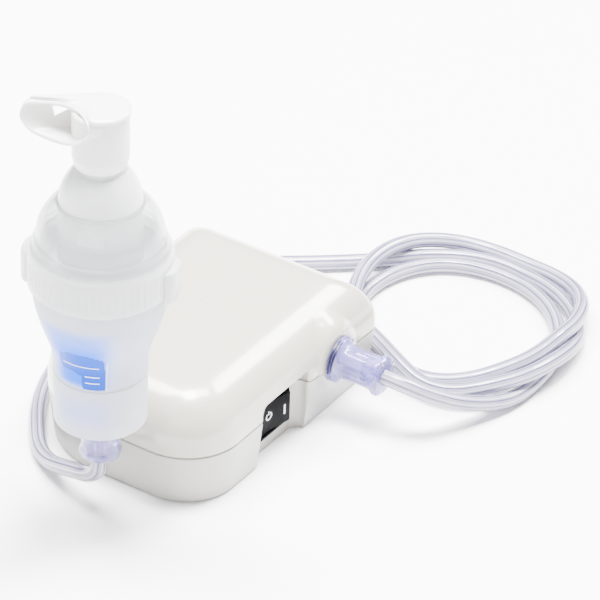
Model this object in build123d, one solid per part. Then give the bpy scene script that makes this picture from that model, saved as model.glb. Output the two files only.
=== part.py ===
from build123d import *
import os
from math import sin, cos, radians, degrees, tan, pi, hypot

# Tabletop nebulizer: a compact air compressor, an air tube and a medication cup kit.
# Frame: +Z up, origin at the centre of the compressor's underside, +X is the side with
# the switch and the air outlet, -Y is the front wall, where the cup stands. Millimetres.

# ---------------------------------------------------------------- driving dimensions
W, D, H = 85.0, 115.0, 43.0          # compressor, outside
Z_PART = 21.0                        # parting plane between the two housings
WALL = 2.0                           # housing wall
R_FL, R_FR, R_RR, R_RL = 36.0, 22.0, 6.0, 8.0   # plan corner radii: front left, front right, rear right, rear left
DRAFT = 2.0                          # how much the side walls lean in at the bottom
Z_SHOULDER = 24.0                    # where the side walls start to roll into the top
ROLL_H = 20.0                        # how far the roll reaches in plan

NOTCH_Y0, NOTCH_Y1 = -20.0, 10.0     # recess for the switch in the +X side
NOTCH_X, NOTCH_Z = 36.0, 27.0

OUT_Y, OUT_Z = 27.6, 22.4            # axis of the air outlet, along +X
KX, KY = 11.8, -75.5                 # axis of the cup kit, along +Z
TUBE_D = 6.0                         # air tube, outside diameter

os.makedirs("parts", exist_ok=True)
NODES = {}

def save(name, shape):
    NODES[name] = shape
    export_step(shape, "parts/%s.step" % name)
    print("%-20s solids %d volume %.1f" % (name, len(shape.solids()), shape.volume))

def at(x, y, z):
    return Location((x, y, z))

def cyl(x, y, z, r, h, axis="z"):
    """Cylinder that starts at (x, y, z) and runs h along the axis."""
    c = Cylinder(r, h, align=(Align.CENTER, Align.CENTER, Align.MIN))
    rot = {"z": (0, 0, 0), "x": (0, 90, 0), "y": (-90, 0, 0)}[axis]
    return Location((x, y, z), rot) * c

def box(x0, x1, y0, y1, z0, z1):
    return Location(((x0 + x1) / 2, (y0 + y1) / 2, (z0 + z1) / 2)) * Box(x1 - x0, y1 - y0, z1 - z0)

def outline(inset, z, rmin=3.0, extra=0.0):
    """Plan outline of the compressor at height z, moved in by inset (a face)."""
    x0, x1, y0, y1 = -W / 2 + inset, W / 2 - inset, -D / 2 + inset, D / 2 - inset
    k = inset + extra
    rfl, rfr = max(R_FL - k * 0.9, 6.0), max(R_FR - k * 0.9, 4.0)
    rrr, rrl = max(R_RR - k * 0.25, rmin - 1.0), max(R_RL - k * 0.3, rmin - 1.0)
    q = 0.70710678
    edges = [
        Line((x0 + rfl, y0, z), (x1 - rfr, y0, z)),
        ThreePointArc((x1 - rfr, y0, z), (x1 - rfr + rfr * q, y0 + rfr - rfr * q, z), (x1, y0 + rfr, z)),
        Line((x1, y0 + rfr, z), (x1, y1 - rrr, z)),
        ThreePointArc((x1, y1 - rrr, z), (x1 - rrr + rrr * q, y1 - rrr + rrr * q, z), (x1 - rrr, y1, z)),
        Line((x1 - rrr, y1, z), (x0 + rrl, y1, z)),
        ThreePointArc((x0 + rrl, y1, z), (x0 + rrl - rrl * q, y1 - rrl + rrl * q, z), (x0, y1 - rrl, z)),
        Line((x0, y1 - rrl, z), (x0, y0 + rfl, z)),
        ThreePointArc((x0, y0 + rfl, z), (x0 + rfl - rfl * q, y0 + rfl - rfl * q, z), (x0 + rfl, y0, z)),
    ]
    return make_face(Wire(edges))

def skin(levels, extra=0.0):
    return loft([outline(i, z, extra=extra) for z, i in levels], ruled=True)

def roll(t, k=0.0):
    """Point of the roll from wall to top: t degrees, k is the wall's thickness."""
    return (Z_SHOULDER + (H - Z_SHOULDER - k) * sin(radians(t)), k + (ROLL_H - k) * (1 - cos(radians(t))))

# ---------------------------------------------------------------- compressor housings
lower_out = skin([(0.0, DRAFT + 1.0), (1.0, DRAFT), (20.6, 0.05), (Z_PART, 0.45)])
lower_in = skin([(2.0, DRAFT + WALL), (20.6, WALL + 0.05), (Z_PART + 1.0, WALL)])
upper_out = skin([(Z_PART, 0.45), (21.4, 0.0), (Z_SHOULDER, 0.0)] + [roll(t) for t in (15, 30, 42, 54, 66, 78, 90)])
upper_in = skin([(Z_PART - 1.0, WALL), (Z_SHOULDER, WALL)] + [roll(t, WALL) for t in (20, 40, 60, 75, 90)])

# recess for the switch: open at the bottom, rounded inner rear corner, rounded front top corner
notch = box(NOTCH_X, W / 2 + 6, NOTCH_Y0, NOTCH_Y1, -2, NOTCH_Z)
notch = fillet(notch.edges().filter_by(Axis.Z).sort_by(Axis.X)[:2].sort_by(Axis.Y)[-1:], 4.5)
notch = fillet(notch.edges().filter_by(Axis.X).group_by(Axis.Z)[-1].sort_by(Axis.Y)[:1], 3.5)
notch_wall = box(NOTCH_X - WALL, W / 2 + 6, NOTCH_Y0 - WALL, NOTCH_Y1 + WALL, -2, NOTCH_Z + WALL)

# the boss round the air outlet, a low smooth dome on the +X wall
boss = cyl(34.0, OUT_Y, OUT_Z, 12.5, 9.2, "x")
boss = fillet(boss.faces().sort_by(Axis.X)[-1].edges(), 3.0)
boss_up = boss & box(30, 50, 0, 60, Z_PART, 60)
boss_lo = boss & box(30, 50, 0, 60, 0, Z_PART)

lower = lower_out - (lower_in - notch_wall)
lower = lower - notch
upper = upper_out - (upper_in - notch_wall)
upper = upper - notch
lower = lower + (boss_lo - notch)
upper = upper + boss_up

# ---------------------------------------------------------------- kit holder: a stepped bracket on the front wall
# an open ring round the kit plug, under the cup's skirt; a web steps down to the arm in the wall
clip = cyl(KX, KY, 39.5, 8.9, 4.0) + box(KX - 3, KX + 3, -70.0, -62.0, 39.5, 43.5)
clip = clip + box(KX - 3, KX + 3, -64.0, -60.0, 33.0, 43.5) + box(KX - 3, KX + 3, -61.0, -46.4, 33.0, 37.0)
clip = clip + box(KX - 4, KX + 4, -47.5, -46.4, 32.0, 37.6)
clip = clip - cyl(KX, KY, 39.0, 7.25, 5.0) - box(KX - 12, KX + 12, KY - 12, KY - 3.0, 39.0, 44.0)
save("kit_holder", clip)
upper = upper - box(KX - 3, KX + 3, -62.0, -47.5, 33.0, 37.0)

# ---------------------------------------------------------------- air outlet port
PORT_R = 5.0
lower = lower - cyl(30, OUT_Y, OUT_Z, PORT_R, 16, "x")
upper = upper - cyl(30, OUT_Y, OUT_Z, PORT_R, 16, "x")
port = cyl(34.0, OUT_Y, OUT_Z, PORT_R, 9.2, "x") + cyl(32.2, OUT_Y, OUT_Z, PORT_R + 2.0, 1.8, "x")
port = port + cyl(43.2, OUT_Y, OUT_Z, 3.2, 11.8, "x") + cyl(24.5, OUT_Y, OUT_Z, 2.2, 7.8, "x")
port = port - cyl(23, OUT_Y, OUT_Z, 1.2, 34, "x")
port = chamfer(port.edges().filter_by(GeomType.CIRCLE).group_by(Axis.X)[-1].sort_by(SortBy.RADIUS)[-1:], 0.6)
flange_cut = cyl(32.1, OUT_Y, OUT_Z, PORT_R + 2.05, 1.95, "x")
lower = lower - flange_cut
upper = upper - flange_cut
save("air_outlet_port", port)

# ---------------------------------------------------------------- switch: frame and rocker
SW_Y0, SW_Y1, SW_Z0, SW_Z1 = -18.4, 6.2, 5.0, 20.4
SW_YC = (SW_Y0 + SW_Y1) / 2
sw_cut = box(NOTCH_X - 3.2, NOTCH_X + 8, SW_Y0, SW_Y1, SW_Z0, SW_Z1)
lower = lower - sw_cut
frame = box(NOTCH_X - 3.0, NOTCH_X + 0.4, SW_Y0, SW_Y1, SW_Z0, SW_Z1)
frame = frame + box(NOTCH_X - 12.0, NOTCH_X - 3.0, SW_Y0 + 1.5, SW_Y1 - 1.5, SW_Z0 + 0.5, SW_Z1 - 0.5)
RK_Y0, RK_Y1, RK_Z0, RK_Z1 = SW_Y0 + 1.2, SW_Y1 - 1.2, SW_Z0 + 1.2, SW_Z1 - 1.2
frame = frame - box(NOTCH_X - 10.5, NOTCH_X + 2, RK_Y0 - 0.4, RK_Y1 + 0.4, RK_Z0 - 0.35, RK_Z1 + 0.35)
PIV_X = NOTCH_X - 3.6
pin = cyl(PIV_X, SW_YC, RK_Z0 - 1.5, 0.9, RK_Z1 - RK_Z0 + 3.0)
frame = frame - pin
save("switch_frame", frame)
save("rocker_pin", pin)
# paddle with two faces at a slight angle; the front half stands pressed in
hh = (RK_Y1 - RK_Y0) / 2
pad = Polyline((NOTCH_X + 0.2, RK_Y0), (NOTCH_X + 0.0, SW_YC), (NOTCH_X + 2.2, RK_Y1 - 0.9), (NOTCH_X - 1.2, RK_Y1),
               (NOTCH_X - 5.4, SW_YC + 3.0), (NOTCH_X - 5.4, SW_YC - 3.0), (NOTCH_X - 2.6, RK_Y0), close=True)
rocker = extrude(Plane.XY.offset(RK_Z0) * make_face(pad), RK_Z1 - RK_Z0)
rocker = rocker - cyl(PIV_X, SW_YC, RK_Z0 - 1, 0.95, RK_Z1 - RK_Z0 + 2)
save("power_rocker", rocker)

# ---------------------------------------------------------------- power jack in the rear wall
JX, JZ = 22.0, 11.5
jack = box(JX - 5, JX + 5, 44.0, 54.6, JZ - 5.5, JZ + 5.5) + cyl(JX, 54.0, JZ, 4.6, 2.9, "y")
jack = jack - cyl(JX, 46.5, JZ, 2.75, 12, "y")
jack = jack + cyl(JX, 46.0, JZ, 0.8, 9.0, "y")
lower = lower - cyl(JX, 50, JZ, 4.6, 10, "y")
lower = lower - box(JX - 5.05, JX + 5.05, 43.9, 54.65, JZ - 5.55, JZ + 5.55)
save("power_jack", jack)

# ---------------------------------------------------------------- air filter: seat, pad, cover
FX, FZ = -18.0, 11.4
lower = lower - cyl(FX, 47, FZ, 8.4, 14, "y")
seat = cyl(FX, 47.6, FZ, 8.4, 8.6, "y") - cyl(FX, 48.8, FZ, 7.4, 9, "y") - cyl(FX, 45, FZ, 2.0, 6, "y")
seat = seat + (cyl(FX, 44.0, FZ, 3.0, 3.7, "y") - cyl(FX, 43.0, FZ, 2.0, 8, "y"))
save("filter_seat", seat)
save("air_filter", cyl(FX, 49.0, FZ, 7.2, 3.2, "y"))
cover = cyl(FX, 52.6, FZ, 7.2, 4.9, "y") - cyl(FX, 52.0, FZ, 6.2, 4.0, "y")
cap = cyl(FX, 57.5, FZ, 9.3, 1.8, "y")
cap = fillet(cap.faces().sort_by(Axis.Y)[-1].edges(), 0.8)
cover = cover + cap
for k in (-1, 0, 1):
    cover = cover - box(FX - 4.2, FX + 4.2, 50, 62, FZ + k * 3.4 - 0.6, FZ + k * 3.4 + 0.6)
save("filter_cover", cover)

# ---------------------------------------------------------------- feet, screws, posts, vents
FEET = [(-29.0, -24.0), (27.0, -40.0), (31.5, 47.0), (-31.5, 47.0)]
POSTS = [(-22.0, -32.0), (20.0, -44.0), (33.0, 38.0), (-33.0, 38.0)]
feet = [cyl(x, y, 0, 5.0, 1.2) for x, y in FEET]
for x, y in FEET:
    lower = lower - cyl(x, y, -1, 5.0, 2.2)
    lower = lower + (cyl(x, y, 1.2, 6.0, 1.8) )
save("rubber_feet", Compound(children=feet))
screws = []
for x, y in POSTS:
    lower = lower + (cyl(x, y, 1.9, 3.4, Z_PART - 1.9))
    upper = upper + (cyl(x, y, Z_PART, 3.4, 42.4 - Z_PART) & upper_out)
    lower = lower - cyl(x, y, -1, 2.6, 4.0) - cyl(x, y, -1, 1.3, 30)
    upper = upper - cyl(x, y, Z_PART - 1, 1.3, 9.0)
    s = cyl(x, y, 0.8, 2.4, 2.2) + cyl(x, y, 2.9, 1.25, 24.0) - box(x - 1.6, x + 1.6, y - 0.3, y + 0.3, 0.0, 1.6) - box(x - 0.3, x + 0.3, y - 1.6, y + 1.6, 0.0, 1.6)
    screws.append(s)
save("housing_screws", Compound(children=screws))
for i in range(5):                    # cooling slots in the -X wall
    y = 8.0 + 7.0 * i
    lower = lower - box(-50, -36, y - 1.1, y + 1.1, 6.0, 16.0)
for i in range(4):                    # cooling slots in the underside
    lower = lower - box(-6 + 5.0 * i, -4 + 5.0 * i, 24.0, 40.0, -1, 4)
save("lower_housing", lower)
save("upper_housing", upper)

# ---------------------------------------------------------------- motor and piston pump, sealed in the housing
MX, MZ = -12.0, 15.6                  # motor axis, along Y
can = cyl(MX, -4.0, MZ, 11.0, 28.0, "y") - cyl(MX, -5.0, MZ, 1.05, 40, "y") - cyl(MX, -2.0, MZ, 9.6, 24.0, "y")
save("motor_can", can)
bell = cyl(MX, 24.0, MZ, 10.4, 3.0, "y") - cyl(MX, 23, MZ, 1.05, 5, "y") + (cyl(MX, 27.0, MZ, 3.0, 2.0, "y") - cyl(MX, 23, MZ, 1.05, 9, "y"))
save("motor_end_bell", bell)
arm = cyl(MX, -1.0, MZ, 8.8, 22.0, "y") - cyl(MX, -5, MZ, 1.0, 40, "y")
save("motor_rotor", arm)
shaft = cyl(MX, -12.6, MZ, 1.0, 40.6, "y")
save("motor_shaft", shaft)
disc = cyl(MX, -12.6, MZ, 7.0, 4.0, "y") - cyl(MX, -13, MZ, 1.0, 6, "y") + cyl(MX + 2.0, -17.6, MZ, 1.5, 5.0, "y")
save("crank_disc", disc)
cradle = box(MX - 13.0, MX + 13.0, -3.0, 23.0, 3.6, 12.0) - cyl(MX, -5, MZ, 11.05, 40, "y")
save("motor_cradle", cradle)
damp = [cyl(MX + i * 10.5, 10 + j * 9.5, 2.0, 2.2, 1.6) for i in (-1, 1) for j in (-1, 1)]
save("motor_dampers", Compound(children=damp))
PY = -15.4
yoke = box(MX - 8.2, MX + 10.2, PY - 1.6, PY + 1.6, MZ - 7.6, MZ + 7.6) - box(MX - 6.2, MX + 8.2, PY - 3, PY + 3, MZ - 5.6, MZ + 5.6)
piston = yoke + cyl(MX + 10.2, PY, MZ, 1.8, 6.4, "x") + cyl(MX + 16.0, PY, MZ, 6.9, 5.0, "x")
save("piston", piston)
CX = MX + 14.4                        # open end of the cylinder
cylb = cyl(CX, PY, MZ, 8.6, 13.6, "x") - cyl(CX - 1, PY, MZ, 6.95, 16, "x")
cylb = cylb + (box(CX + 9.6, CX + 13.6, PY - 10, PY + 10, MZ - 10, MZ + 10) - cyl(CX - 1, PY, MZ, 6.95, 16, "x"))
cylb = cylb + (box(CX, CX + 13.6, PY - 5, PY + 5, 2.0, MZ - 6) - cyl(CX - 1, PY, MZ, 7.5, 16, "x"))
HX = CX + 13.6
HEAD = [(i * 7.6, j * 7.6) for i in (-1, 1) for j in (-1, 1)]
for a, b in HEAD:
    cylb = cylb - cyl(CX + 9, PY + a, MZ + b, 1.0, 6, "x")
save("pump_cylinder", cylb)
head = box(HX + 0.6, HX + 6.6, PY - 10, PY + 10, MZ - 10, MZ + 10) - cyl(HX, PY, MZ + 3.2, 2.6, 5.0, "x") - cyl(HX, PY, MZ - 3.2, 2.6, 5.0, "x")
head = head + cyl(HX + 3.6, PY + 10, MZ + 3.2, 1.9, 6.0, "y") - cyl(HX + 3.6, PY - 1, MZ + 3.2, 1.0, 20, "y")
hs = []
for a, b in HEAD:
    head = head - cyl(HX - 1, PY + a, MZ + b, 1.0, 9, "x")
    hs.append(cyl(HX - 3.4, PY + a, MZ + b, 0.95, 10.0, "x") + cyl(HX + 6.6, PY + a, MZ + b, 1.9, 1.4, "x"))
save("cylinder_head", head)
save("valve_plate", box(HX, HX + 0.6, PY - 9.9, PY + 9.9, MZ - 9.9, MZ + 9.9) - cyl(HX - 1, PY, MZ + 3.2, 1.2, 3, "x") - cyl(HX - 1, PY, MZ - 3.2, 1.2, 3, "x")
     - cyl(HX - 1, PY + 7.6, MZ + 7.6, 1.0, 3, "x") - cyl(HX - 1, PY - 7.6, MZ + 7.6, 1.0, 3, "x") - cyl(HX - 1, PY + 7.6, MZ - 7.6, 1.0, 3, "x") - cyl(HX - 1, PY - 7.6, MZ - 7.6, 1.0, 3, "x"))
save("head_screws", Compound(children=hs))
hose_pts = [(HX + 3.6, PY + 11.0, MZ + 3.2), (HX + 3.6, 8.0, MZ + 3.2), (HX + 3.6, OUT_Y, OUT_Z), (31.6, OUT_Y, OUT_Z)]
hose_path = FilletPolyline(*hose_pts, radius=7.0)
hose_sec = Plane(origin=hose_pts[0], z_dir=(0, 1, 0)) * (Circle(2.9) - Circle(1.9))
hose = sweep(hose_sec, path=hose_path) - cyl(24.0, OUT_Y, OUT_Z, 2.2, 9.0, "x")
save("inner_hose", hose)
pcb = box(-2.0, 29.0, 30.0, 42.6, 7.0, 8.6) + box(4, 12, 32, 40, 8.6, 10.6) + cyl(20, 36, 8.6, 3.0, 7.0) + box(-1.4, 2.4, 31, 41, 8.6, 14)
save("circuit_board", pcb)

# ---------------------------------------------------------------- cup kit
def rev(pts, x=KX, y=KY):
    """Solid of revolution about the kit's axis from (radius, height) points."""
    f = make_face(Polyline(*[(r, 0, z) for r, z in pts], close=True))
    return Location((x, y, 0)) * revolve(f, Axis.Z)

SK_R, SK_Z0, FLOOR_Z = 16.3, 44.4, 62.6
cup = rev([
    (15.0, SK_Z0), (SK_R, SK_Z0), (SK_R, 68.0), (16.9, 73.0), (18.5, 78.5), (20.6, 84.6), (22.5, 91.6), (23.5, 97.0), (23.5, 112.6),
    (22.3, 112.6), (22.3, 97.2), (21.3, 92.0), (19.3, 84.9), (17.2, 78.9), (15.6, 73.4), (15.0, 68.0), (15.0, 65.6), (9.0, 64.4), (4.2, 64.2),
    (3.0, 74.0), (1.6, 77.0), (0.5, 77.0), (0.5, 70.0), (1.3, 66.0), (1.3, 41.0), (2.9, 41.0), (3.0, 42.0), (3.0, 50.6), (4.6, 50.6), (4.6, FLOOR_Z), (15.0, FLOOR_Z)])
save("medication_cup", cup)

vap = rev([
    (12.6, 66.6), (13.4, 66.6), (13.4, 69.0), (12.0, 73.5), (9.4, 79.0), (7.4, 84.0), (6.6, 88.0), (0.001, 88.0), (0.001, 80.6), (2.2, 80.6), (4.2, 75.0), (5.6, 68.4), (12.6, 68.4)])
for k in range(3):
    a = radians(90 + 120 * k)
    fin = Location((KX, KY, 0), (0, 0, 90 + 120 * k)) * box(5.0, 12.6, -0.7, 0.7, 66.6, 84.0)
    vap = vap + (fin & rev([(0.001, 66.6), (13.0, 66.6), (13.0, 74), (10.4, 80), (8.6, 84.0), (0.001, 84)]))
vap = vap - rev([(0.001, 60.0), (5.0, 60.0), (5.0, 67.0), (4.0, 75.0), (2.2, 80.6), (0.001, 80.6)])
save("vaporizer_head", vap)

top = rev([
    (23.9, 100.6), (25.0, 100.6), (25.0, 112.6), (24.0, 115.0), (23.2, 116.4), (22.9, 119.6), (21.7, 124.2), (19.4, 128.4), (15.2, 132.2),
    (14.4, 133.6), (13.6, 136.8), (12.2, 140.2), (10.4, 143.2), (8.9, 145.2), (8.0, 145.6), (8.0, 158.0), (6.7, 158.0), (6.7, 145.0),
    (8.2, 143.6), (10.0, 141.2), (11.6, 138.4), (12.5, 136.0), (13.0, 133.8), (13.0, 98.4), (14.4, 98.4), (14.4, 130.6), (18.6, 127.2), (20.6, 123.6), (21.7, 119.4),
    (21.8, 113.2), (23.9, 113.2)])
TAB_A = 19.6
for k in (0, 1):
    tab = Location((KX, KY, 0), (0, 0, TAB_A + 180 * k)) * box(24.2, 27.6, -6.5, 6.5, 98.2, 110.6)
    tab = fillet(tab.edges().filter_by(Axis.Z), 0.8)
    top = top + (tab - rev([(0.001, 90), (23.9, 90), (23.9, 112.0), (0.001, 112)]))
save("inhalation_top", top)

# mouthpiece: a vertical socket over the top's neck and a flattened oval duct to the side,
# cut obliquely so that its mouth faces -Y; local x runs along the duct, local y to its open side
MA = 213.0                     # direction of the duct, degrees from +X
sock = rev([(8.1, 147.0), (9.75, 147.0), (9.75, 168.6), (9.0, 169.7), (0.001, 170.1), (0.001, 168.4), (8.1, 167.6)])
mloc = Location((KX, KY, 0), (0, 0, MA))
def oval(x, y, hw, hh):
    """Oval section of the duct at distance x: centre y, half width, half height."""
    return Plane(origin=(x, y, 162.6), x_dir=(0, 1, 0), z_dir=(1, 0, 0)) * Ellipse(hw, hh)
duct = loft([oval(0.0, 1.0, 8.9, 6.3), oval(27.0, 2.2, 7.7, 6.3)])
bore = loft([oval(-2.0, 1.0, 7.4, 4.8), oval(29.0, 2.2, 6.2, 4.8)])
tilt = Location((0, 0, 0), (0, 0, 56.3))                  # local frame whose x is square to the mouth
front = tilt * box(11.2, 60.0, -60.0, 60.0, 140, 190)
scoop = tilt * (Location((11.2, 0, 164.0), (0, -43.0, 0)) * Box(60, 120, 60, align=(Align.MIN, Align.CENTER, Align.CENTER)))
duct = duct - front - scoop
horn = (mloc * duct) - cyl(KX, KY, 140, 8.1, 28.0)
mouth = sock + horn
mouth = mouth - (mloc * (bore & box(-2.0, 40, -20, 20, 150, 175)))
mouth = mouth - (mloc * box(9.4, 15.6, -14.0, -2.0, 161.6, 165.4))
save("mouthpiece", mouth)

# ---------------------------------------------------------------- plugs on the air tube
kp = rev([(1.5, 28.0), (7.6, 28.0), (7.6, 30.6), (5.6, 31.0), (5.6, 36.0), (7.2, 36.6), (7.2, 46.0), (6.2, 50.0), (3.05, 50.0), (3.05, 40.0), (1.5, 38.0)])
save("kit_plug", kp)
px0 = 43.4
pl = cyl(px0, OUT_Y, OUT_Z, 8.8, 2.8, "x") + cyl(px0 + 2.8, OUT_Y, OUT_Z, 6.5, 14.2, "x") + cyl(60.4, OUT_Y, OUT_Z, 7.7, 2.6, "x")
pl = pl - cyl(px0 - 1, OUT_Y, OUT_Z, 3.25, 13.6, "x") - cyl(px0 + 2, OUT_Y, OUT_Z, 1.5, 24.0, "x")
save("outlet_plug", pl)

# ---------------------------------------------------------------- air tube: lead, coil, tail
# control points of the whole route, from the outlet plug to the kit plug
ROUTE = [
    (63.0, 27.6, 22.4), (70.5, 28.0, 21.9), (78.0, 33.2, 17.4), (84.6, 43.2, 11.0), (90.4, 54.8, 6.2), (94.8, 66.5, 3.4),
    (95.9, 80.8, 3.0), (94.6, 95.5, 3.0), (89.6, 109.0, 3.0), (81.4, 120.4, 3.0), (70.6, 128.9, 3.0), (57.5, 133.6, 3.0),
    (43.0, 134.0, 3.0), (29.3, 129.6, 3.0), (18.8, 120.0, 3.0), (13.2, 106.6, 3.0), (12.5, 92.0, 3.0), (17.3, 78.8, 3.0),
    (26.8, 68.2, 3.0), (39.3, 62.0, 3.0), (52.8, 57.8, 3.4), (66.5, 57.4, 4.6), (78.0, 63.2, 6.8), (86.6, 73.8, 9.2),
    (91.4, 86.8, 9.6), (94.0, 100.5, 12.0), (92.9, 114.0, 9.8), (88.8, 127.0, 9.0), (79.8, 137.8, 6.6), (67.4, 144.9, 3.8),
    (53.0, 146.6, 3.0), (38.4, 147.2, 3.0), (24.8, 142.2, 5.0), (14.6, 130.8, 8.2), (8.6, 118.6, 9.3), (7.3, 105.0, 9.2),
    (10.4, 91.0, 8.8), (16.8, 78.0, 9.2), (26.6, 67.8, 9.3), (39.1, 61.9, 9.3), (51.6, 55.3, 9.0), (64.5, 51.2, 6.2),
    (77.0, 53.2, 6.4), (87.8, 61.6, 9.2), (95.4, 73.8, 9.6), (98.4, 88.0, 9.2), (98.2, 102.2, 7.0), (94.2, 115.8, 3.8),
    (84.6, 128.3, 3.0), (72.0, 136.2, 3.0), (58.0, 139.6, 3.0), (43.6, 140.8, 3.0), (29.8, 136.6, 3.0), (17.0, 127.8, 3.0),
    (5.6, 115.6, 3.0), (-8.0, 103.6, 3.0), (-22.5, 92.4, 3.0), (-37.5, 81.0, 3.0), (-50.0, 66.0, 3.0), (-56.6, 48.0, 3.0),
    (-58.2, 28.0, 3.0), (-57.2, 8.5, 3.0), (-54.4, -9.2, 3.0), (-49.8, -25.0, 3.0), (-43.4, -38.6, 3.0), (-35.4, -49.8, 3.0),
    (-26.0, -57.8, 3.0), (-15.6, -62.2, 3.0), (-5.8, -62.2, 5.6), (2.6, -67.4, 11.4), (9.2, -73.2, 17.0), (11.8, -75.5, 23.0),
    (11.8, -75.5, 28.0),
]
N_LEAD, N_TAIL = 6, 19                # points before the coil and after it
def tube(points, name):
    rads, turns = [], []
    for i in range(1, len(points) - 1):
        a, b, c = (Vector(*points[j]) for j in (i - 1, i, i + 1))
        turn = (b - a).get_angle(c - b)
        run = min((b - a).length, (c - b).length)
        rads.append(0.45 * run / tan(radians(turn) / 2)); turns.append(turn)
    print(name, "radii", ["%.0f" % r for r in rads], "turns", ["%.0f" % t for t in turns], "smallest %.1f diameters" % (min(rads) / TUBE_D))
    path = FilletPolyline(*points, radius=rads)
    sec = Plane(origin=points[0], z_dir=(Vector(*points[1]) - Vector(*points[0]))) * Circle(TUBE_D / 2)
    t = sweep(sec, path=path)
    print(name, "length %.1f" % path.length, "volume %.1f" % t.volume, "section x length %.1f" % (pi * TUBE_D ** 2 / 4 * path.length))
    save(name, t)
    return path.length
l1 = tube(ROUTE[:N_LEAD], "air_tube_lead")
l2 = tube(ROUTE[-N_TAIL - 1:], "air_tube")

# the coil as one closed ring of its outer shape
RING_C = (52.0, 97.0)
RING_IN = [37.7, 35.7, 34.2, 33.4, 33.0, 33.0, 33.3, 34.1, 35.1, 36.0, 36.3, 36.0, 35.9, 35.6, 35.0, 34.4, 33.7, 33.7, 34.9, 37.0, 38.6, 38.2, 37.5, 37.1]
RING_OUT = [49.7, 49.2, 48.9, 51.2, 52.5, 52.9, 53.0, 54.8, 55.3, 53.9, 52.0, 49.6, 46.8, 44.3, 42.8, 41.8, 40.8, 41.8, 45.7, 50.7, 53.1, 53.1, 54.2, 50.8]
RING_TOP = 13.0
def loop(radii, z):
    p = [(RING_C[0] + r * cos(radians(15 * i)), RING_C[1] + r * sin(radians(15 * i)), z) for i, r in enumerate(radii)]
    return make_face(Wire(Spline(*p, periodic=True)))
ring = extrude(loop(RING_OUT, 0.0), amount=RING_TOP, dir=(0, 0, 1)) - extrude(loop(RING_IN, -1.0), amount=RING_TOP + 2, dir=(0, 0, 1))
save("air_tube_coil", ring)
print("nodes", len(NODES))
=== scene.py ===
import bpy, bmesh, json
from math import sin, cos, tan, pi, radians, degrees, sqrt, hypot, atan2, exp
from mathutils import Vector, Matrix


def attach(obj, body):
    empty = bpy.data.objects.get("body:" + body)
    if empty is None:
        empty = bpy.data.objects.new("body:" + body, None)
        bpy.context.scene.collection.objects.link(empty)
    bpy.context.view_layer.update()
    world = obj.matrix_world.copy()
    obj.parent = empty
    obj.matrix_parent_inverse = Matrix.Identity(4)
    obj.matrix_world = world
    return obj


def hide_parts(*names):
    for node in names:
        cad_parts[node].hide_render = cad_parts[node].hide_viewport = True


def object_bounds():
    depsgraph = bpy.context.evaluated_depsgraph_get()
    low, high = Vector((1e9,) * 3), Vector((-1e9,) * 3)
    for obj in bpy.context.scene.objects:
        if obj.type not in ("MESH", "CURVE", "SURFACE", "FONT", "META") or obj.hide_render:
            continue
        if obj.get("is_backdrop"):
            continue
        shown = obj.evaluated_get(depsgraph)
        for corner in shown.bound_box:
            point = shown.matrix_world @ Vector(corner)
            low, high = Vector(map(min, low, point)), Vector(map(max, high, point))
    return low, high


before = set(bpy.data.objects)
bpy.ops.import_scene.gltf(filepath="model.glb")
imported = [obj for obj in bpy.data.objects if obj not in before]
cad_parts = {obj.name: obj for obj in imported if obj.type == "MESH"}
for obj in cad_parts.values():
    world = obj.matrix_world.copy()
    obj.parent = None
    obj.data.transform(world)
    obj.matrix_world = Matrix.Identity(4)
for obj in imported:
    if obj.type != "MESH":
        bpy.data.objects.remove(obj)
CAD_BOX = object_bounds()
MM = 0.001
KX, KY = 11.8, -75.5            # axis of the cup kit, mm
OY, OZ = 27.6, 22.4             # axis of the air outlet, mm
scene = bpy.context.scene

# ------------------------------------------------------------------ camera
def make_camera():
    az, el, roll, dist, f = radians(32.716), radians(34.194), radians(1.963), 1.8702, 4074.5
    look = Vector((-0.15071, 0.30245, -0.18103))
    back = Vector((sin(az) * cos(el), -cos(az) * cos(el), sin(el)))
    right = Vector((cos(az), sin(az), 0))
    up = back.cross(right)
    x = cos(roll) * right + sin(roll) * up
    y = -sin(roll) * right + cos(roll) * up
    m = Matrix((x, y, back)).transposed().to_4x4()
    m.translation = look + back * dist
    cam = bpy.data.cameras.new("camera")
    cam.sensor_width = 36.0
    cam.lens = f / 600.0 * 36.0
    cam.clip_start, cam.clip_end = 0.05, 20.0
    ob = bpy.data.objects.new("camera", cam)
    scene.collection.objects.link(ob)
    ob.matrix_world = m
    scene.camera = ob
    return ob
make_camera()

# ------------------------------------------------------------------ materials
def new_mat(name):
    m = bpy.data.materials.new(name)
    m.use_nodes = True
    nt = m.node_tree
    b = nt.nodes["Principled BSDF"]
    return m, nt, b

def mix_rgb(nt, fac, a, b, blend="MIX"):
    n = nt.nodes.new("ShaderNodeMix")
    n.data_type = "RGBA"
    n.blend_type = blend
    if hasattr(fac, "is_linked"):
        nt.links.new(fac, n.inputs[0])
    else:
        n.inputs[0].default_value = fac
    for k, v in ((6, a), (7, b)):
        if hasattr(v, "is_linked"):
            nt.links.new(v, n.inputs[k])
        else:
            n.inputs[k].default_value = (v[0], v[1], v[2], 1)
    return n.outputs[2]

def math_node(nt, op, a, b=None, c=None):
    n = nt.nodes.new("ShaderNodeMath")
    n.operation = op
    for k, v in enumerate((a, b, c)):
        if v is None:
            continue
        if hasattr(v, "is_linked"):
            nt.links.new(v, n.inputs[k])
        else:
            n.inputs[k].default_value = v
    return n.outputs[0]

def map_range(nt, v, a, b, c, d):
    n = nt.nodes.new("ShaderNodeMapRange")
    nt.links.new(v, n.inputs[0])
    for k, x in enumerate((a, b, c, d)):
        n.inputs[k + 1].default_value = x
    return n.outputs[0]

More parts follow.
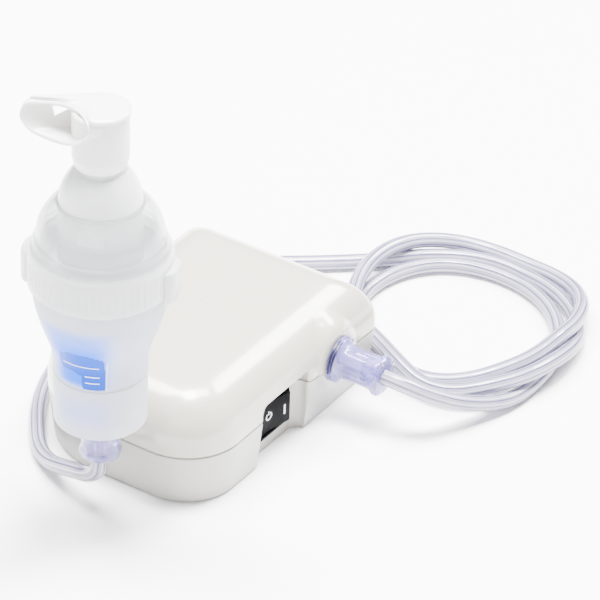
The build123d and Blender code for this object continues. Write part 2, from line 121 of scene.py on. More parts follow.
def noise(nt, scale, detail=3.0, rough=0.55, vec=None):
    n = nt.nodes.new("ShaderNodeTexNoise")
    n.inputs["Scale"].default_value = scale
    n.inputs["Detail"].default_value = detail
    n.inputs["Roughness"].default_value = rough
    if vec is None:
        tc = nt.nodes.new("ShaderNodeTexCoord")
        vec = tc.outputs["Object"]
    nt.links.new(vec, n.inputs["Vector"])
    return n.outputs["Fac"]

def attr(nt, name):
    n = nt.nodes.new("ShaderNodeAttribute")
    n.attribute_name = name
    return n.outputs["Fac"]

def plastic(name, c1, c2, rough=0.3, rvar=0.06, nscale=45.0, bump=0.03, bscale=1800.0, coat=0.0,
            spec=0.5, trans=0.0, ior=1.46, alpha=1.0, metal=0.0, sss=0.0, coat_rough=0.05, emit=None):
    """Moulded material: two close colours in soft clouds, uneven gloss and a fine grain."""
    m, nt, b = new_mat(name)
    f = noise(nt, nscale)
    f2 = map_range(nt, f, 0.35, 0.65, 0.0, 1.0)
    nt.links.new(mix_rgb(nt, f2, c1, c2), b.inputs["Base Color"])
    g = noise(nt, nscale * 2.7, 5.0)
    nt.links.new(map_range(nt, g, 0.3, 0.7, max(rough - rvar, 0.02), rough + rvar), b.inputs["Roughness"])
    if bump:
        h = noise(nt, bscale, 2.0)
        bn = nt.nodes.new("ShaderNodeBump")
        bn.inputs["Strength"].default_value = bump
        bn.inputs["Distance"].default_value = 0.0002
        nt.links.new(h, bn.inputs["Height"])
        nt.links.new(bn.outputs["Normal"], b.inputs["Normal"])
    b.inputs["Metallic"].default_value = metal
    b.inputs["IOR"].default_value = ior
    b.inputs["Specular IOR Level"].default_value = spec
    b.inputs["Coat Weight"].default_value = coat
    b.inputs["Coat Roughness"].default_value = coat_rough
    b.inputs["Transmission Weight"].default_value = trans
    b.inputs["Alpha"].default_value = alpha
    if sss:
        b.inputs["Subsurface Weight"].default_value = sss
        b.inputs["Subsurface Radius"].default_value = (1.0, 0.9, 0.8)
        b.inputs["Subsurface Scale"].default_value = 0.004
    return m

M = {}
M["top_shell"] = plastic("top_shell", (0.40, 0.381, 0.322), (0.391, 0.372, 0.313), 0.30, 0.04, 22, 0.02, 2400, coat=0.8, coat_rough=0.14)
M["base_shell"] = plastic("base_shell", (0.365, 0.355, 0.332), (0.355, 0.345, 0.322), 0.32, 0.04, 22, 0.02, 2400, coat=0.3, coat_rough=0.16)
M["foot"] = plastic("foot_rubber", (0.38, 0.39, 0.40), (0.33, 0.34, 0.35), 0.7, 0.08, 120, 0.25, 2600)
M["black"] = plastic("switch_black", (0.004, 0.004, 0.005), (0.005, 0.005, 0.006), 0.34, 0.01, 160, 0.0, 3000, ior=1.12, spec=0.25)
M["mark"] = plastic("switch_mark", (0.88, 0.88, 0.87), (0.80, 0.80, 0.80), 0.5, 0.05, 300, 0.02, 4000)
M["screw"] = plastic("screw_zinc", (0.60, 0.60, 0.61), (0.50, 0.50, 0.52), 0.32, 0.1, 500, 0.1, 3000, metal=1.0)
M["steel"] = plastic("ground_steel", (0.66, 0.66, 0.67), (0.58, 0.58, 0.60), 0.26, 0.08, 400, 0.05, 3000, metal=1.0)
M["can"] = plastic("drawn_steel", (0.52, 0.53, 0.54), (0.45, 0.46, 0.47), 0.4, 0.1, 90, 0.08, 2600, metal=1.0)
M["alloy"] = plastic("die_cast", (0.66, 0.67, 0.68), (0.56, 0.57, 0.58), 0.5, 0.12, 130, 0.25, 2200, metal=1.0)
M["brass"] = plastic("turned_brass", (0.72, 0.54, 0.26), (0.62, 0.45, 0.2), 0.3, 0.1, 200, 0.08, 2800, metal=1.0)
M["copper"] = plastic("winding", (0.62, 0.30, 0.16), (0.48, 0.22, 0.12), 0.45, 0.1, 500, 0.4, 1500, metal=1.0)
M["dark"] = plastic("moulded_black", (0.03, 0.03, 0.032), (0.045, 0.045, 0.047), 0.5, 0.08, 150, 0.2, 2600)
M["grey"] = plastic("moulded_grey", (0.30, 0.30, 0.31), (0.25, 0.25, 0.26), 0.55, 0.08, 110, 0.2, 2600)
M["acetal"] = plastic("acetal", (0.76, 0.75, 0.71), (0.70, 0.69, 0.65), 0.42, 0.08, 110, 0.1, 2600)
M["hose"] = plastic("silicone_hose", (0.55, 0.55, 0.54), (0.47, 0.47, 0.46), 0.45, 0.08, 150, 0.1, 2600)
M["rubber"] = plastic("soft_rubber", (0.05, 0.05, 0.05), (0.075, 0.075, 0.075), 0.75, 0.08, 200, 0.35, 2400)
M["board"] = plastic("solder_mask", (0.02, 0.20, 0.08), (0.03, 0.26, 0.11), 0.35, 0.1, 300, 0.15, 2000)
M["felt"] = plastic("felt", (0.84, 0.84, 0.82), (0.72, 0.72, 0.70), 0.95, 0.04, 900, 0.9, 1400)
M["white"] = plastic("satin_white", (0.72, 0.72, 0.71), (0.69, 0.69, 0.68), 0.34, 0.05, 60, 0.04, 2400, coat=0.15, coat_rough=0.15)
M["holder"] = plastic("holder_white", (0.58, 0.57, 0.55), (0.55, 0.54, 0.52), 0.32, 0.05, 60, 0.05, 2400)
M["mouth"] = plastic("mouth_white", (0.72, 0.715, 0.705), (0.69, 0.685, 0.675), 0.26, 0.05, 60, 0.03, 2600, coat=0.2, coat_rough=0.15, sss=0.15)
M["blue"] = plastic("head_blue", (0.004, 0.075, 0.62), (0.004, 0.06, 0.52), 0.32, 0.05, 160, 0.05, 2400, coat=0.2)
# near-black for the plug's slots: painted shade standing in for the openings
M["navy"] = plastic("slot_navy", (0.002, 0.002, 0.018), (0.004, 0.004, 0.03), 0.35, 0.06, 600, 0.05, 2400)

def frosted(name, c1, c2, rough, trans, window=False, glow=None, spec=0.5, pane=(0.0, 0.055, 0.46), pane_t=0.5, pane_r=0.6, coat=0.25):
    """Frosted translucent shell; a clear window where the attribute says so, and a painted blue glow of the vaporizer's
    light where a second attribute says so.
    """
    m, nt, b = new_mat(name)
    f = map_range(nt, noise(nt, 60), 0.35, 0.65, 0.0, 1.0)
    col = mix_rgb(nt, f, c1, c2)
    if glow:
        # painted blue glow of the vaporizer's light, mixed into the wall colour
        col = mix_rgb(nt, attr(nt, "painted_glow"), col, glow)
    if window:
        col = mix_rgb(nt, attr(nt, "window"), col, pane)
    nt.links.new(col, b.inputs["Base Color"])
    r = map_range(nt, noise(nt, 170, 5.0), 0.3, 0.7, rough - 0.04, rough + 0.04)
    if window:
        w = attr(nt, "window")
        r = math_node(nt, "MULTIPLY", r, map_range(nt, w, 0.0, 1.0, 1.0, pane_r))
        # where the glow is painted the wall loses almost all transmission, so the painted blue shows as flat diffuse
        # colour
        t = math_node(nt, "MULTIPLY", map_range(nt, attr(nt, "painted_glow"), 0.0, 1.0, trans, trans * 0.04), map_range(nt, w, 0.0, 1.0, 1.0, pane_t))
        nt.links.new(t, b.inputs["Transmission Weight"])
    else:
        b.inputs["Transmission Weight"].default_value = trans
    nt.links.new(r, b.inputs["Roughness"])
    h = noise(nt, 1500, 2.0)
    bn = nt.nodes.new("ShaderNodeBump")
    bn.inputs["Strength"].default_value = 0.05
    bn.inputs["Distance"].default_value = 0.0002
    nt.links.new(h, bn.inputs["Height"])
    nt.links.new(bn.outputs["Normal"], b.inputs["Normal"])
    b.inputs["IOR"].default_value = 1.35
    b.inputs["Specular IOR Level"].default_value = spec
    b.inputs["Coat Weight"].default_value = coat
    b.inputs["Coat Roughness"].default_value = 0.12
    return m

# the cup carries a painted blue glow of the vaporizer's light around its window
M["cup"] = frosted("cup_frosted", (0.78, 0.80, 0.85), (0.74, 0.765, 0.82), 0.40, 0.55, window=True, glow=(0.0, 0.125, 0.80), spec=0.12, coat=0.0)
M["dome"] = frosted("top_frosted", (0.93, 0.94, 0.955), (0.90, 0.91, 0.93), 0.22, 0.38)
M["clear"] = frosted("top_clear", (0.90, 0.91, 0.93), (0.87, 0.88, 0.905), 0.22, 0.50, window=True, pane=(0.93, 0.94, 0.955), pane_t=1.6, pane_r=0.36)

def pvc(name, c1, c2, dark, trans, rough, light_streaks=0):
    m, nt, b = new_mat(name)
    f = map_range(nt, noise(nt, 120), 0.35, 0.65, 0.0, 1.0)
    col = mix_rgb(nt, f, c1, c2)
    # painted light on the clear tube: dark streaks of painted shade and offset near-white streaks of painted highlight
    if light_streaks:
        tc = nt.nodes.new("ShaderNodeTexCoord")
        sx = nt.nodes.new("ShaderNodeSeparateXYZ")
        nt.links.new(tc.outputs["UV"], sx.inputs[0])
        wob = math_node(nt, "MULTIPLY", noise(nt, 30, 2.0), 0.05)
        v = math_node(nt, "ADD", sx.outputs[1], wob)
        s = math_node(nt, "SINE", math_node(nt, "MULTIPLY", v, 2 * pi * light_streaks))
        line = map_range(nt, s, 0.70, 1.0, 0.0, 1.0)
        col = mix_rgb(nt, math_node(nt, "MULTIPLY", line, 0.95), col, dark)
        # near-white painted highlight streak, offset from the dark one
        s2 = math_node(nt, "SINE", math_node(nt, "ADD", math_node(nt, "MULTIPLY", v, 2 * pi * light_streaks), 2.4))
        col = mix_rgb(nt, math_node(nt, "MULTIPLY", map_range(nt, s2, 0.7, 1.0, 0.0, 1.0), 0.5), col, (0.97, 0.96, 0.99))
    # painted shade: the colour darkens towards the silhouettes, where the surface turns away from the view
    lw = nt.nodes.new("ShaderNodeLayerWeight")
    lw.inputs["Blend"].default_value = 0.5
    edge = math_node(nt, "MULTIPLY", map_range(nt, lw.outputs["Facing"], 0.45, 0.95, 0.0, 1.0), 0.8)
    col = mix_rgb(nt, edge, col, dark)
    nt.links.new(col, b.inputs["Base Color"])
    nt.links.new(map_range(nt, noise(nt, 300, 4.0), 0.3, 0.7, rough - 0.04, rough + 0.05), b.inputs["Roughness"])
    b.inputs["Transmission Weight"].default_value = trans
    b.inputs["IOR"].default_value = 1.42
    b.inputs["Coat Weight"].default_value = 0.4
    b.inputs["Coat Roughness"].default_value = 0.06
    h = noise(nt, 700, 2.0)
    bn = nt.nodes.new("ShaderNodeBump")
    bn.inputs["Strength"].default_value = 0.06
    bn.inputs["Distance"].default_value = 0.0003
    nt.links.new(h, bn.inputs["Height"])
    nt.links.new(bn.outputs["Normal"], b.inputs["Normal"])
    return m

# the air tube gets painted shade and highlight streaks
M["tube"] = pvc("tube_pvc", (0.37, 0.355, 0.45), (0.31, 0.295, 0.40), (0.06, 0.055, 0.15), 0.38, 0.12, light_streaks=8)
M["violet"] = pvc("plug_pvc", (0.33, 0.30, 0.68), (0.26, 0.235, 0.60), (0.07, 0.06, 0.30), 0.66, 0.08)

# ------------------------------------------------------------------ mesh helpers
def mesh_obj(name, verts, faces, mat, body, replaces=(), angle=38.0, slot=None):
    me = bpy.data.meshes.new(name)
    me.from_pydata([(v[0] * MM, v[1] * MM, v[2] * MM) for v in verts], [], faces)
    me.validate()
    bm = bmesh.new()
    bm.from_mesh(me)
    bmesh.ops.remove_doubles(bm, verts=bm.verts, dist=2e-6)
    bmesh.ops.recalc_face_normals(bm, faces=bm.faces)
    bm.to_mesh(me)
    bm.free()
    me.polygons.foreach_set("use_smooth", [True] * len(me.polygons))
    me.set_sharp_from_angle(angle=radians(angle))
    ob = bpy.data.objects.new(name, me)
    scene.collection.objects.link(ob)
    if mat is not None:
        me.materials.append(mat)
    if body:
        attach(ob, body)
    if replaces:
        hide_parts(*replaces)
    return ob

def grid_faces(rows, cols, close_u=True, flip=False):
    fs = []
    for i in range(rows - 1):
        for j in range(cols if close_u else cols - 1):
            a, b = i * cols + j, i * cols + (j + 1) % cols
            c, d = (i + 1) * cols + (j + 1) % cols, (i + 1) * cols + j
            fs.append((d, c, b, a) if flip else (a, b, c, d))
    return fs

def smooth(points, n=6, closed=False):
    """Catmull-Rom through (a, b) points."""
    out, N = [], len(points)
    rng = range(N) if closed else range(N - 1)
    for i in rng:
        p1, p2 = points[i], points[(i + 1) % N]
        p0 = points[i - 1] if (closed or i > 0) else tuple(2 * a - b for a, b in zip(p1, p2))
        p3 = points[(i + 2) % N] if (closed or i < N - 2) else tuple(2 * b - a for a, b in zip(p1, p2))
        for k in range(n):
            t = k / n
            out.append(tuple(0.5 * (2 * b + (c - a) * t + (2 * a - 5 * b + 4 * c - d) * t * t + (3 * b - a - 3 * c + d) * t ** 3)
                             for a, b, c, d in zip(p0, p1, p2, p3)))
    if not closed:
        out.append(points[-1])
    return out

def revolve(profile, n=128, cx=KX, cy=KY, radial=None):
    """Closed profile of (radius, height); radial(theta, r, z) may move the radius."""
    verts, cols = [], n
    for r, z in profile:
        for j in range(n):
            t = 2 * pi * j / n
            rr = radial(t, r, z) if radial else r
            verts.append((cx + rr * cos(t), cy + rr * sin(t), z))
    rows = len(profile)
    fs = grid_faces(rows, cols)
    for j in range(n):
        a, b = (rows - 1) * cols + j, (rows - 1) * cols + (j + 1) % n
        fs.append((a, b, (j + 1) % n, j))
    return verts, fs

def join_mesh(*parts):
    V, F = [], []
    for v, f in parts:
        o = len(V)
        V += list(v)
        F += [tuple(i + o for i in q) for q in f]
    return V, F

def prism(poly, z0, z1):
    n = len(poly)
    V = [(x, y, z0) for x, y in poly] + [(x, y, z1) for x, y in poly]
    F = [tuple(range(n - 1, -1, -1)), tuple(range(n, 2 * n))] + [(i, (i + 1) % n, n + (i + 1) % n, n + i) for i in range(n)]
    return V, F

def boxm(x0, x1, y0, y1, z0, z1):
    return prism([(x0, y0), (x1, y0), (x1, y1), (x0, y1)], z0, z1)

def cylm(x, y, z, r, h, axis="z", n=48):
    V = []
    for s in (0, h):
        for j in range(n):
            t = 2 * pi * j / n
            a, b = r * cos(t), r * sin(t)
            V.append({"z": (x + a, y + b, z + s), "x": (x + s, y + a, z + b), "y": (x + b, y + s, z + a)}[axis])
    F = [tuple(range(n - 1, -1, -1)), tuple(range(n, 2 * n))] + [(i, (i + 1) % n, n + (i + 1) % n, n + i) for i in range(n)]
    return V, F

def raw_obj(name, part):
    me = bpy.data.meshes.new(name)
    me.from_pydata([(v[0] * MM, v[1] * MM, v[2] * MM) for v in part[0]], [], part[1])
    bm = bmesh.new()
    bm.from_mesh(me)
    bmesh.ops.recalc_face_normals(bm, faces=bm.faces)
    bm.to_mesh(me)
    bm.free()
    ob = bpy.data.objects.new(name, me)
    scene.collection.objects.link(ob)
    return ob

def bake_modifiers(ob):
    bpy.context.view_layer.update()
    dg = bpy.context.evaluated_depsgraph_get()
    me = bpy.data.meshes.new_from_object(ob.evaluated_get(dg), depsgraph=dg)
    old = ob.data
    ob.modifiers.clear()
    ob.data = me
    bpy.data.meshes.remove(old)

def carve(ob, parts, bevel=0.0, angle=38.0):
    cutters = []
    for k, p in enumerate(parts):
        c = raw_obj("%s_cut_%d" % (ob.name, k), p)
        md = ob.modifiers.new("cut%d" % k, "BOOLEAN")
        md.operation, md.solver, md.object = "DIFFERENCE", "EXACT", c
        cutters.append(c)
    bake_modifiers(ob)
    for c in cutters:
        me = c.data
        bpy.data.objects.remove(c)
        bpy.data.meshes.remove(me)
    if bevel:
        md = ob.modifiers.new("edge", "BEVEL")
        md.width, md.segments, md.limit_method, md.angle_limit = bevel * MM, 2, "ANGLE", radians(40)
        md.use_clamp_overlap = True
        bake_modifiers(ob)
    me = ob.data
    me.polygons.foreach_set("use_smooth", [True] * len(me.polygons))
    me.set_sharp_from_angle(angle=radians(angle))

# ------------------------------------------------------------------ the air tube first
ROUTE = [
    (63.0, 27.6, 22.4), (70.5, 28.0, 21.9), (78.0, 33.2, 17.4), (84.6, 43.2, 11.0), (90.4, 54.8, 6.2), (94.8, 66.5, 3.4),
    (95.9, 80.8, 3.0), (94.6, 95.5, 3.0), (89.6, 109.0, 3.0), (81.4, 120.4, 3.0), (70.6, 128.9, 3.0), (57.5, 133.6, 3.0),
    (43.0, 134.0, 3.0), (29.3, 129.6, 3.0), (18.8, 120.0, 3.0), (13.2, 106.6, 3.0), (12.5, 92.0, 3.0), (17.3, 78.8, 3.0),
    (26.8, 68.2, 3.0), (39.3, 62.0, 3.0), (52.8, 57.8, 3.4), (66.5, 57.4, 4.6), (78.0, 63.2, 6.8), (86.6, 73.8, 9.2),
    (91.4, 86.8, 9.6), (94.0, 100.5, 12.0), (92.9, 114.0, 9.8), (88.8, 127.0, 9.0), (79.8, 137.8, 6.6), (67.4, 144.9, 3.8),
    (53.0, 146.6, 3.0), (38.4, 147.2, 3.0), (24.8, 142.2, 5.0), (14.6, 130.8, 8.2), (8.6, 118.6, 9.3), (7.3, 105.0, 9.2),
    (10.4, 91.0, 8.8), (16.8, 78.0, 9.2), (26.6, 67.8, 9.3), (39.1, 61.9, 9.3), (51.6, 55.3, 9.0), (64.5, 51.2, 6.2),
    (77.0, 53.2, 6.4), (87.8, 61.6, 9.2), (95.4, 73.8, 9.6), (98.4, 88.0, 9.2), (98.2, 102.2, 7.0), (94.2, 115.8, 3.8),
    (84.6, 128.3, 3.0), (72.0, 136.2, 3.0), (58.0, 139.6, 3.0), (43.6, 140.8, 3.0), (29.8, 136.6, 3.0), (17.0, 127.8, 3.0),
    (5.6, 115.6, 3.0), (-8.0, 103.6, 3.0), (-22.5, 92.4, 3.0), (-37.5, 81.0, 3.0), (-50.0, 66.0, 3.0), (-56.6, 48.0, 3.0),
    (-58.2, 28.0, 3.0), (-57.2, 8.5, 3.0), (-54.4, -9.2, 3.0), (-49.8, -25.0, 3.0), (-43.4, -38.6, 3.0), (-35.4, -49.8, 3.0),
    (-27.0, -59.6, 3.0), (-18.6, -65.0, 4.4), (-10.2, -68.8, 8.0), (-2.2, -71.8, 11.8), (5.4, -74.4, 14.8), (10.3, -75.3, 18.6),
    (11.8, -75.5, 23.4), (11.8, -75.5, 28.0),
]
def make_tube():
    cu = bpy.data.curves.new("air_tube_clear", "CURVE")
    cu.dimensions = "3D"
    sp = cu.splines.new("NURBS")
    sp.points.add(len(ROUTE) - 1)
    for p, q in zip(sp.points, ROUTE):
        p.co = (q[0] * MM, q[1] * MM, q[2] * MM, 1.0)
    sp.order_u = 3
    sp.use_endpoint_u = True
    sp.resolution_u = 10
    cu.bevel_depth = 0.003
    cu.bevel_resolution = 6
    cu.use_fill_caps = True
    ob = bpy.data.objects.new("air_tube_clear", cu)
    scene.collection.objects.link(ob)
    cu.materials.append(M["tube"])
    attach(ob, "root")
    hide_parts("air_tube", "air_tube_lead", "air_tube_coil")
    return ob
tube = make_tube()

# plugs: revolved, fluted, with slots
def scallop(n, depth, z0, z1):
    def f(t, r, z):
        if z0 <= z <= z1:
            return r - depth * (0.5 - 0.5 * cos(n * t))
        return r
    return f

def to_x_axis(part):
    """Turns a revolve about +Z at the origin into one about +X through the outlet."""
    V, F = part
    return [(z, OY + x, OZ + y) for x, y, z in V], F

def outlet_plug():
    prof = [(1.5, 43.45), (8.2, 43.45), (8.6, 43.6), (8.8, 43.9), (8.8, 44.35), (8.55, 44.5), (8.2, 44.6), (8.2, 45.0), (8.5, 45.1), (8.7, 45.3), (8.7, 45.7), (8.4, 46.0),
            (7.6, 46.3), (6.9, 46.9), (6.55, 48.0), (6.4, 50.0), (6.35, 53.0), (6.4, 56.0), (6.5, 59.0), (6.8, 60.1), (7.4, 60.5), (7.7, 60.9), (7.7, 62.3), (7.4, 62.85), (6.9, 63.0),
            (3.3, 63.0), (1.5, 63.0)]
    def rad(t, r, z):
        if 47.5 < z < 60.0 and r > 5:
            return r - 0.32 * (0.5 - 0.5 * cos(12 * t)) * min(1, (z - 47.5) / 1.5, (60.0 - z) / 1.5 + 0.2)
        if z >= 60.0 and r > 7:
            return r - 0.45 * (0.5 - 0.5 * cos(6 * t))
        return r
    ob = mesh_obj("outlet_plug_clear", *to_x_axis(revolve(prof, 144, 0, 0, rad)), M["violet"], "root", ("outlet_plug",), 50, "plug_pvc")
    # dark curved strips on the near ring: painted shade standing in for the slot openings
    V, F = [], []
    for x0, x1, ra, a0, a1 in ((43.95, 44.75, 8.83, 92, 192), (45.2, 45.95, 8.76, 98, 186)):
        n = 40
        ring = []
        for k in range(n + 1):
            t = radians(a0 + (a1 - a0) * k / n)
            w = sqrt(max(0.0, 1 - (2 * k / n - 1) ** 2)) * 0.85 + 0.15
            xm, hw = (x0 + x1) / 2, (x1 - x0) / 2 * w
            for r, x in ((ra, xm - hw), (ra, xm + hw), (ra - 0.7, xm + hw), (ra - 0.7, xm - hw)):
                ring.append((x, OY + r * cos(t), OZ + r * sin(t)))
        f = grid_faces(n + 1, 4)
        f.append((0, 1, 2, 3))
        f.append(tuple(4 * n + q for q in (3, 2, 1, 0)))
        V, F = join_mesh((V, F), (ring, f))
    sl = mesh_obj("outlet_plug_slots", V, F, M["navy"], "root", (), 60, "plug_pvc")
    return ob, sl
plug_a, plug_a_slots = outlet_plug()

def kit_plug():
    prof = [(1.5, 28.0), (6.3, 28.0), (7.0, 28.25), (7.4, 28.8), (7.55, 29.6), (7.5, 30.4), (7.2, 31.0), (6.95, 31.6), (6.8, 32.6), (6.8, 35.2), (6.95, 36.2), (7.1, 36.8), (7.2, 37.4),
            (7.2, 46.0), (7.0, 48.2), (6.5, 49.6), (6.0, 50.0), (3.1, 50.0), (3.1, 38.6), (1.5, 38.0)]
    def rad(t, r, z):
        if 37 < z < 46.5 and r > 6:
            return r - 0.5 * (0.5 - 0.5 * cos(12 * t))
        if z < 31 and r > 7:
            return r - 0.35 * (0.5 - 0.5 * cos(8 * t))
        return r
    return mesh_obj("kit_plug_clear", *revolve(prof, 144, KX, KY, rad), M["violet"], "root", ("kit_plug",), 50, "plug_pvc")
plug_b = kit_plug()

# ------------------------------------------------------------------ compressor housings
W2, D2 = 42.5, 57.5
def ring_pts(k, z):
    x0, x1, y0, y1 = -W2 + k, W2 - k, -D2 + k, D2 - k
    rfl, rfr = max(36 - k * 0.9, 6.0), max(22 - k * 0.9, 4.0)
    rrr, rrl = max(6 - k * 0.25, 2.0), max(8 - k * 0.3, 2.0)
    P = []
    def line(a, b, n):
        for i in range(n):
            t = i / n
            P.append((a[0] + (b[0] - a[0]) * t, a[1] + (b[1] - a[1]) * t))
    def arc(cx, cy, r, a0, a1, n):
        for i in range(n):
            t = radians(a0 + (a1 - a0) * i / n)
            P.append((cx + r * cos(t), cy + r * sin(t)))
    line((x0 + rfl, y0), (x1 - rfr, y0), 16)
    arc(x1 - rfr, y0 + rfr, rfr, -90, 0, 28)
    line((x1, y0 + rfr), (x1, y1 - rrr), 110)
    arc(x1 - rrr, y1 - rrr, rrr, 0, 90, 18)
    line((x1 - rrr, y1), (x0 + rrl, y1), 30)
    arc(x0 + rrl, y1 - rrl, rrl, 90, 180, 18)
    line((x0, y1 - rrl), (x0, y0 + rfl), 30)
    arc(x0 + rfl, y0 + rfl, rfl, 180, 270, 36)
    return [(x, y, z) for x, y in P]

def boss_move(p):
    """Swells the +X wall into a round boss about the air outlet."""
    x, y, z = p
    r = hypot(y - OY, z - OZ)
    if x < 20 or r > 24:
        return p
    d = max(0.0, r - 9.4)
    xb = 43.2 - 0.012 * d * d * d - 0.09 * d * d
    k = 1.2
    h = max(k - abs(x - xb), 0.0) / k
    return (min(max(x, xb) + h * h * k / 4, 43.3), y, z)

def skin_mesh(levels):
    V = []
    for z, k in levels:
        V += [boss_move(p) for p in ring_pts(k, z)]
    n = len(V) // len(levels)
    F = grid_faces(len(levels), n)
    F.append(tuple(range(n - 1, -1, -1)))
    F.append(tuple((len(levels) - 1) * n + i for i in range(n)))
    return V, F

low_levels = [(0.0, 3.2), (0.12, 2.75), (0.4, 2.35), (0.8, 2.12), (1.3, 1.98)]
z = 2.1
while z < 20.4:
    low_levels.append((z, 1.98 * (20.6 - z) / 19.3))
    z += 0.8
low_levels += [(20.35, 0.02), (20.55, 0.10), (20.75, 0.32), (20.9, 0.7), (20.95, 1.1)]
up_levels = [(21.05, 1.1), (21.1, 0.6), (21.2, 0.25), (21.35, 0.07), (21.6, 0.0), (22.2, 0.0), (23.0, 0.0), (23.6, 0.0)]
for i in range(0, 46):
    t = radians(2 * i)
    up_levels.append((24 + 18.75 * sin(t), 20 * (1 - cos(t))))
up_levels += [(42.80, 21.5), (42.85, 23.5), (42.90, 26.5), (42.94, 30.0), (42.96, 34.0)]

NF, NR, NX = -20.0, 10.0, 36.0        # recess: front, rear, depth
def notch_part(z0, z1, grow=0.0, top=True):
    def prof(y_front):
        x0, y1 = NX - grow, NR + grow
        P = [(52, y_front), (x0, y_front)]
        for i in range(9):
            t = radians(180 - 90 * i / 8)
            P.append((x0 + 4.5 + 4.5 * cos(t), y1 - 4.5 + 4.5 * sin(t)))
        for i in range(9):
            t = radians(270 + 90 * i / 8)
            P.append((40.7 + 1.8 * cos(t), y1 + 1.8 + 1.8 * sin(t)))
        P.append((52, y1 + 1.8))
        return P
    zs = [z0]
    if top:
        zs += [z1 - 3.5 * (1 - sin(radians(90 * i / 8))) for i in range(0, 9)]
    else:
        zs.append(z1)
    V = []
    for zz in zs:
        d = max(0.0, zz - (z1 - 3.5)) if top else 0.0
        yf = NF + (3.5 - sqrt(max(0.0, 3.5 ** 2 - d * d)))
        V += [(x, y, zz) for x, y in prof(min(yf, -16.5))]
    n = len(prof(NF))
    F = grid_faces(len(zs), n)
    F.append(tuple(range(n - 1, -1, -1)))
    F.append(tuple((len(zs) - 1) * n + i for i in range(n)))
    return V, F

FEET = [(-29.0, -24.0), (27.0, -40.0), (31.5, 47.0), (-31.5, 47.0)]
POSTS = [(-22.0, -32.0), (20.0, -44.0), (33.0, 38.0), (-33.0, 38.0)]
def make_housings():
    lo = mesh_obj("lower_shell", *skin_mesh(low_levels), M["base_shell"], "root", ("lower_housing",), 40, "housing_base")
    cuts = [notch_part(-2, 21.5, 0.0, top=False)]
    misc = [cylm(x, y, -1, 5.02, 2.21) for x, y in FEET] + [cylm(x, y, -1, 2.6, 4.0) for x, y in POSTS]
    misc += [boxm(-50, -39.2, 8 + 7 * i - 1.1, 8 + 7 * i + 1.1, 6, 16) for i in range(5)]
    misc += [boxm(-6 + 5 * i, -4 + 5 * i, 24, 40, -1, 2.2) for i in range(4)]
    misc += [cylm(-18.0, 47.5, 11.4, 8.42, 14, "y"), cylm(22.0, 46.4, 11.5, 4.62, 14, "y")]
    cuts.append(join_mesh(*misc))
    cuts.append(cylm(31.5, OY, OZ, 5.02, 16, "x"))
    cuts.append(boxm(NX - 3.2, NX + 8, -18.42, 6.22, 4.98, 20.42))
    carve(lo, cuts, 0.0, 36)
    up = mesh_obj("upper_shell", *skin_mesh(up_levels), M["top_shell"], "root", ("upper_housing",), 40, "housing_top")
    cuts = [notch_part(20.0, 27.0, 0.55, top=True), cylm(31.5, OY, OZ, 5.02, 16, "x"), boxm(KX - 3.05, KX + 3.05, -62, -47.5, 32.95, 37.05)]
    carve(up, cuts, 0.0, 36)
    return lo, up
lower, upper = make_housings()

# ------------------------------------------------------------------ rocker
def make_rocker():
    y0, y1, ym = -17.2, 5.0, -6.1
    poly = [(36.2, y0 + 0.25), (36.15, -14), (36.05, -10), (36.02, -7.6), (36.05, -6.4), (36.16, -5.2), (36.5, -3.2), (37.3, 0.4), (38.1, y1 - 1.05), (38.05, y1 - 0.75), (37.8, y1 - 0.55),
            (34.8, y1), (30.6, -3.1), (30.6, -9.1), (33.6, y0), (35.9, y0)]
    z0, z1 = 6.2, 19.2
    V, F = [], []
    lev = [(z0, 0.5), (z0 + 0.15, 0.2), (z0 + 0.5, 0.0), (z1 - 0.5, 0.0), (z1 - 0.15, 0.2), (z1, 0.5)]
    for zz, k in lev:
        V += [(x - k if x > 35.5 else x, y, zz) for x, y in poly]
    n = len(poly)
    F = grid_faces(len(lev), n)
    F.append(tuple(range(n - 1, -1, -1)))
    F.append(tuple((len(lev) - 1) * n + i for i in range(n)))
    mesh_obj("rocker_paddle", V, F, M["black"], "rocker", ("power_rocker",), 30, "switch_black")
    # power symbol on the front half, bar on the rear half
    V, F = [], []
    cy, cz, xs = -6.5, 13.3, 36.05
    def lift(y):
        return 0.0 if y < -6.2 else (y + 6.2) * 0.11 if y < -5.2 else 0.11 + (y + 5.2) * 0.2
    n = 28
    ring = []
    for k in range(n + 1):
        t = radians(90 + 38 + (360 - 76) * k / n)
        for r in (1.25, 1.75):
            for dx in (0.0, 0.14):
                ring.append((xs + dx + lift(cy + r * cos(t)), cy + r * cos(t), cz + r * sin(t)))
    idx = [0, 1, 3, 2]
    f = []
    for k in range(n):
        for q in range(4):
            a, b = 4 * k + idx[q], 4 * k + idx[(q + 1) % 4]
            f.append((a, b, b + 4, a + 4))
    f.append(tuple(idx))
    f.append(tuple(4 * n + i for i in idx[::-1]))
    V, F = join_mesh((ring, f), boxm(xs, xs + 0.14, cy - 0.25, cy + 0.25, cz + 0.5, cz + 2.1))
    mesh_obj("rocker_symbol", V, F, M["mark"], "rocker", (), 30, "switch_black")
    s = 0.2157
    V = []
    for dx in (-0.02, 0.14):
        for zz in (10.4, 14.6):
            for yy in (1.2, 1.85):
                V.append((36.5 + (yy + 3.2) * 0.2222 + dx, yy, zz))
    F = [(0, 1, 3, 2), (4, 6, 7, 5), (0, 4, 5, 1), (2, 3, 7, 6), (0, 2, 6, 4), (1, 5, 7, 3)]
    mesh_obj("rocker_bar", V, F, M["mark"], "rocker", (), 30, "switch_black")
make_rocker()

